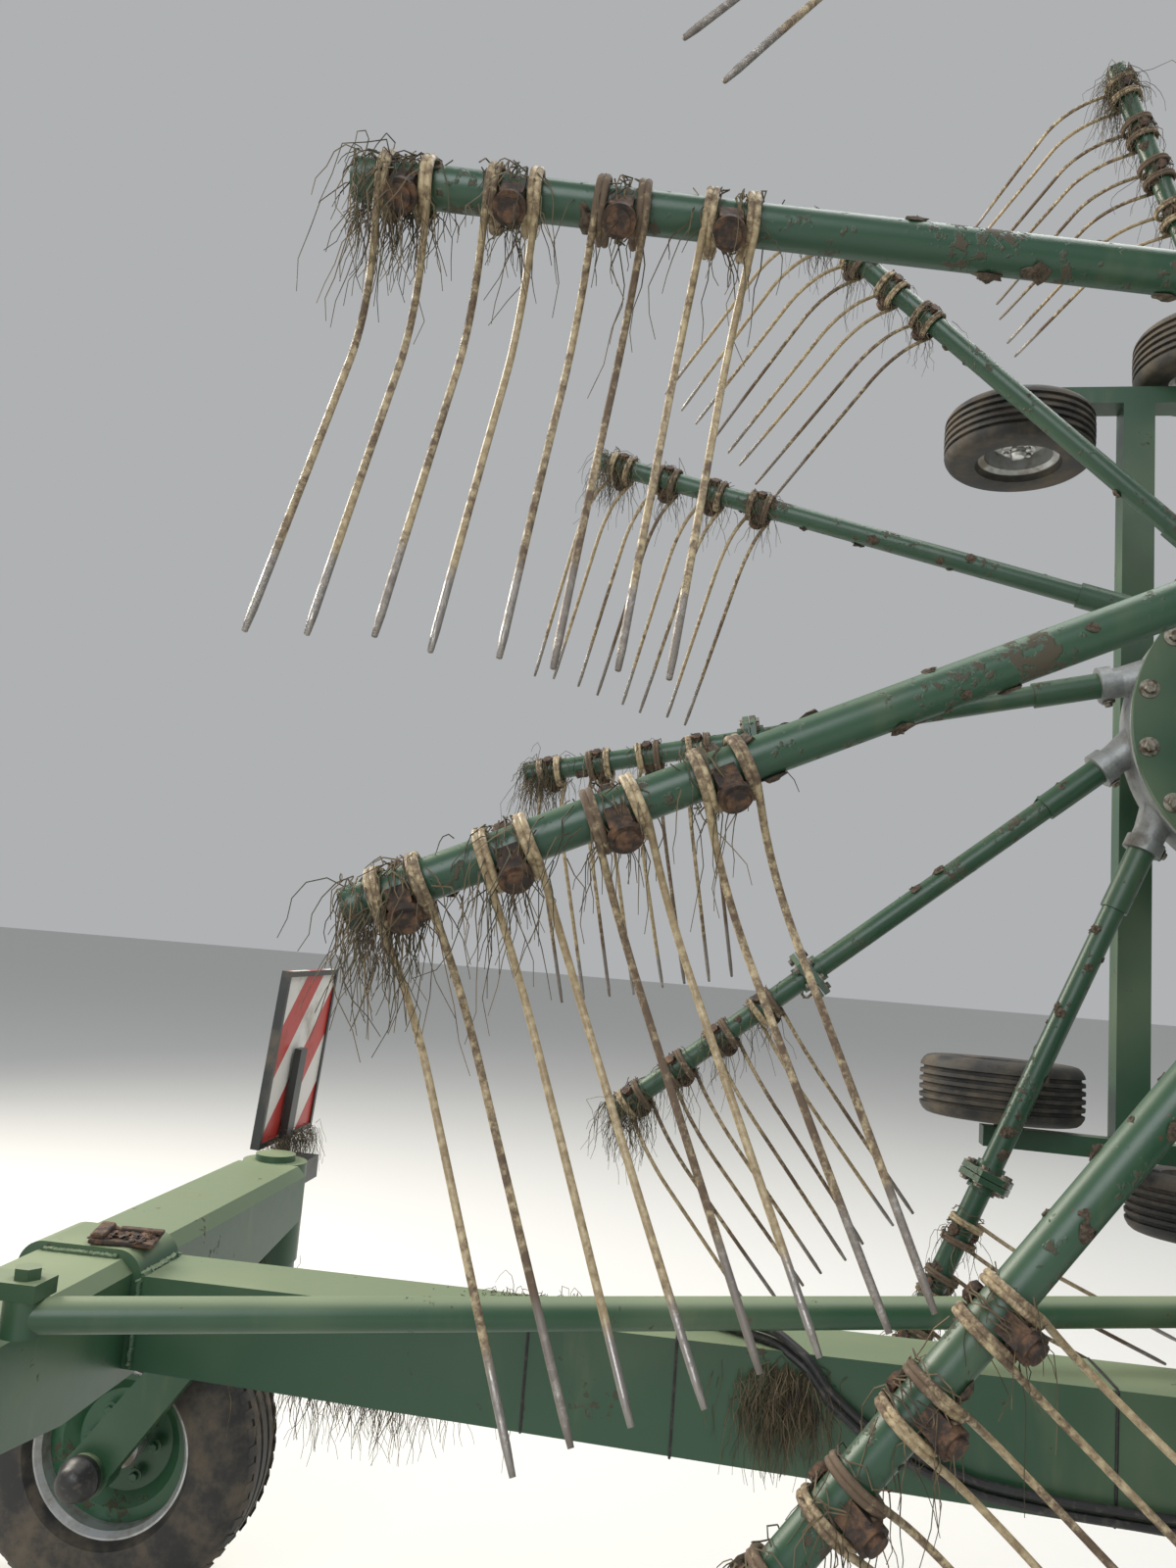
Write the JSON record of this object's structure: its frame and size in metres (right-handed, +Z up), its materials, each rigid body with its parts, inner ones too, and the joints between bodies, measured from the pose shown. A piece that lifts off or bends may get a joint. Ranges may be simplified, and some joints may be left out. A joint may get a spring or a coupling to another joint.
{
  "type": "twin-rotor rotary hay rake",
  "caption": "Trailed rotary hay rake with two tined rotors folded up on booms each side of a long beam, steered rear wheels, a hitch headstock and a parking jack.",
  "frame": {"origin": "ground plane under the middle of the machine's length and width", "axes": "+X forwards along the way it travels, +Y to its left side, +Z up"},
  "size_m": [5.9999, 2.74, 4.2106],
  "materials": {
    "green_paint": "semi-gloss green paint, weathered",
    "tine_steel": "cream-painted spring steel with bare worn ends",
    "cast_metal": "grey cast metal",
    "bare_steel": "bare steel",
    "rusty_steel": "dark rusty steel",
    "rim": "silver paint",
    "warning_white": "painted sheet",
    "tyre": "black rubber"
  },
  "bodies": {
    "frame": {"main_beam": "green_paint", "crossbeam": "green_paint", "boom_carrier": "green_paint", "ram_tower": "green_paint", "gearbox": "cast_metal", "warning_panels": "warning_white", "jack_tube": "green_paint"},
    "headstock": {"headstock": "green_paint"},
    "relay_lever": {"relay_lever": "green_paint"},
    "front_steering_rod": {"front_steering_rod": "green_paint"},
    "rear_steering_rod": {"rear_steering_rod": "green_paint"},
    "tie_rod": {"tie_rod": "green_paint"},
    "jack_leg": {"jack_leg": "bare_steel"},
    "left_knuckle": {"left_knuckle": "green_paint"},
    "left_rear_wheel": {"left_rear_tyre": "tyre", "left_rear_rim": "rim"},
    "right_knuckle": {"right_knuckle": "green_paint"},
    "right_rear_wheel": {"right_rear_tyre": "tyre", "right_rear_rim": "rim"},
    "left_inner_boom": {"left_inner_boom": "green_paint"},
    "left_outer_boom": {"left_outer_boom": "green_paint", "left_rotor_gearbox": "green_paint", "left_running_gear": "green_paint"},
    "left_rotor": {"left_drum": "cast_metal", "left_cover": "green_paint", "left_arms": "green_paint", "left_clamps": "rusty_steel", "left_tines": "tine_steel"},
    "left_ram_barrel": {"left_ram_barrel": "green_paint"},
    "left_ram_rod": {"left_ram_rod": "bare_steel"},
    "left_outer_front_wheel": {"left_outer_front_tyre": "tyre", "left_outer_front_rim": "rim"},
    "left_outer_rear_wheel": {"left_outer_rear_tyre": "tyre", "left_outer_rear_rim": "rim"},
    "left_inner_front_wheel": {"left_inner_front_tyre": "tyre", "left_inner_front_rim": "rim"},
    "left_inner_rear_wheel": {"left_inner_rear_tyre": "tyre", "left_inner_rear_rim": "rim"},
    "right_inner_boom": {"right_inner_boom": "green_paint"},
    "right_outer_boom": {"right_outer_boom": "green_paint", "right_rotor_gearbox": "green_paint", "right_running_gear": "green_paint"},
    "right_rotor": {"right_drum": "cast_metal", "right_cover": "green_paint", "right_arms": "green_paint", "right_clamps": "rusty_steel", "right_tines": "tine_steel"},
    "right_ram_barrel": {"right_ram_barrel": "green_paint"},
    "right_ram_rod": {"right_ram_rod": "bare_steel"},
    "right_outer_front_wheel": {"right_outer_front_tyre": "tyre", "right_outer_front_rim": "rim"},
    "right_outer_rear_wheel": {"right_outer_rear_tyre": "tyre", "right_outer_rear_rim": "rim"},
    "right_inner_front_wheel": {"right_inner_front_tyre": "tyre", "right_inner_front_rim": "rim"},
    "right_inner_rear_wheel": {"right_inner_rear_tyre": "tyre", "right_inner_rear_rim": "rim"}
  },
  "joints": [
    {"name": "headstock_yaw", "type": "hinge", "parent": "frame", "child": "headstock", "pos_m": [2.45, 0, 0.99], "axis": [0, 0, 1], "range_deg": [-35, 35]},
    {"name": "relay_lever_turn", "type": "hinge", "parent": "frame", "child": "relay_lever", "pos_m": [-0.3, -0.165, 1.1853], "axis": [0, 0, 1], "range_deg": [-35.05, 35.05]},
    {"name": "front_rod_turn", "type": "hinge", "parent": "headstock", "child": "front_steering_rod", "pos_m": [2.45, -0.165, 1.166], "axis": [0, 0, 1], "range_deg": [-35.05, 35.05]},
    {"name": "rear_rod_turn", "type": "hinge", "parent": "relay_lever", "child": "rear_steering_rod", "pos_m": [-0.3, 0.065, 1.2216], "axis": [0, 0, 1], "range_deg": [-36.85, 36.85]},
    {"name": "left_steer", "type": "hinge", "parent": "frame", "child": "left_knuckle", "pos_m": [-2.26, 0.88, 1], "axis": [0, 0, 1], "range_deg": [-23.45, 23.45]},
    {"name": "left_rear_wheel_spin", "type": "hinge", "parent": "left_knuckle", "child": "left_rear_wheel", "pos_m": [-2.62, 1.01, 0.38], "axis": [0, 1, 0], "continuous": true},
    {"name": "right_steer", "type": "hinge", "parent": "frame", "child": "right_knuckle", "pos_m": [-2.26, -0.88, 1], "axis": [0, 0, 1], "range_deg": [-23.45, 23.45]},
    {"name": "right_rear_wheel_spin", "type": "hinge", "parent": "right_knuckle", "child": "right_rear_wheel", "pos_m": [-2.62, -1.01, 0.38], "axis": [0, 1, 0], "continuous": true},
    {"name": "tie_rod_turn", "type": "hinge", "parent": "right_knuckle", "child": "tie_rod", "pos_m": [-2.43, -0.88, 0.911], "axis": [0, 0, 1], "range_deg": [-23.45, 23.45]},
    {"name": "jack_slide", "type": "slide", "parent": "frame", "child": "jack_leg", "axis": [0, 0, 1], "range_m": [0, 0.3]},
    {"name": "left_boom_fold", "type": "hinge", "parent": "frame", "child": "left_inner_boom", "pos_m": [0.09796, 0.3627, 0.81008], "axis": [-0.9962, 0.0872, 0], "range_deg": [0, 88]},
    {"name": "left_boom_slide", "type": "slide", "parent": "left_inner_boom", "child": "left_outer_boom", "axis": [0.003, 0.0348, 0.9994], "range_m": [0, 0.5]},
    {"name": "left_rotor_spin", "type": "hinge", "parent": "left_outer_boom", "child": "left_rotor", "pos_m": [0.128, 0.706, 2.369], "axis": [0.0871, 0.9956, -0.0349], "continuous": true},
    {"name": "left_ram_turn", "type": "hinge", "parent": "frame", "child": "left_ram_barrel", "pos_m": [-0.126, -0.17785, 1.44994], "axis": [-0.9962, 0.0872, 0], "range_deg": [0, 4.64]},
    {"name": "left_ram_slide", "type": "slide", "parent": "left_ram_barrel", "child": "left_ram_rod", "axis": [0.073, 0.8344, -0.5462], "range_m": [0, 0.36951]},
    {"name": "left_outer_front_spin", "type": "hinge", "parent": "left_outer_boom", "child": "left_outer_front_wheel", "pos_m": [0.07198, 1.04093, 3.4742], "axis": [0.003, 0.0348, 0.9994], "continuous": true},
    {"name": "left_outer_rear_spin", "type": "hinge", "parent": "left_outer_boom", "child": "left_outer_rear_wheel", "pos_m": [-0.42683, 1.07644, 3.24234], "axis": [0.003, 0.0348, 0.9994], "continuous": true},
    {"name": "left_inner_front_spin", "type": "hinge", "parent": "left_outer_boom", "child": "left_inner_front_wheel", "pos_m": [0.06519, 0.96333, 1.24356], "axis": [0.003, 0.0348, 0.9994], "continuous": true},
    {"name": "left_inner_rear_spin", "type": "hinge", "parent": "left_outer_boom", "child": "left_inner_rear_wheel", "pos_m": [-0.4322, 1.01497, 1.47542], "axis": [0.003, 0.0348, 0.9994], "continuous": true},
    {"name": "right_boom_fold", "type": "hinge", "parent": "frame", "child": "right_inner_boom", "pos_m": [0.09796, -0.3627, 0.81008], "axis": [0.9962, 0.0872, 0], "range_deg": [0, 88]},
    {"name": "right_boom_slide", "type": "slide", "parent": "right_inner_boom", "child": "right_outer_boom", "axis": [0.003, -0.0348, 0.9994], "range_m": [0, 0.5]},
    {"name": "right_rotor_spin", "type": "hinge", "parent": "right_outer_boom", "child": "right_rotor", "pos_m": [0.128, -0.706, 2.369], "axis": [0.0871, -0.9956, -0.0349], "continuous": true},
    {"name": "right_ram_turn", "type": "hinge", "parent": "frame", "child": "right_ram_barrel", "pos_m": [0.22466, 0.20853, 1.44994], "axis": [0.9962, 0.0872, 0], "range_deg": [0, 4.64]},
    {"name": "right_ram_slide", "type": "slide", "parent": "right_ram_barrel", "child": "right_ram_rod", "axis": [0.073, -0.8344, -0.5462], "range_m": [0, 0.36951]},
    {"name": "right_outer_front_spin", "type": "hinge", "parent": "right_outer_boom", "child": "right_outer_front_wheel", "pos_m": [0.07198, -1.04093, 3.4742], "axis": [0.003, -0.0348, 0.9994], "continuous": true},
    {"name": "right_outer_rear_spin", "type": "hinge", "parent": "right_outer_boom", "child": "right_outer_rear_wheel", "pos_m": [-0.42683, -1.07644, 3.24234], "axis": [0.003, -0.0348, 0.9994], "continuous": true},
    {"name": "right_inner_front_spin", "type": "hinge", "parent": "right_outer_boom", "child": "right_inner_front_wheel", "pos_m": [0.06519, -0.96333, 1.24356], "axis": [0.003, -0.0348, 0.9994], "continuous": true},
    {"name": "right_inner_rear_spin", "type": "hinge", "parent": "right_outer_boom", "child": "right_inner_rear_wheel", "pos_m": [-0.4322, -1.01497, 1.47542], "axis": [0.003, -0.0348, 0.9994], "continuous": true}
  ],
  "couplings": [
    {"joint": "relay_lever_turn", "follows": "headstock_yaw", "ratio": -1},
    {"joint": "front_rod_turn", "follows": "headstock_yaw", "ratio": -1},
    {"joint": "rear_rod_turn", "follows": "headstock_yaw", "ratio": 1.0514},
    {"joint": "left_steer", "follows": "headstock_yaw", "ratio": -0.66846},
    {"joint": "right_steer", "follows": "headstock_yaw", "ratio": -0.66846},
    {"joint": "tie_rod_turn", "follows": "headstock_yaw", "ratio": 0.66846},
    {"joint": "left_ram_turn", "follows": "left_boom_fold", "ratio": 0.052126},
    {"joint": "left_ram_slide", "follows": "left_boom_fold", "m_per_rad": 0.24026},
    {"joint": "right_ram_turn", "follows": "right_boom_fold", "ratio": 0.052126},
    {"joint": "right_ram_slide", "follows": "right_boom_fold", "m_per_rad": 0.24026}
  ]
}
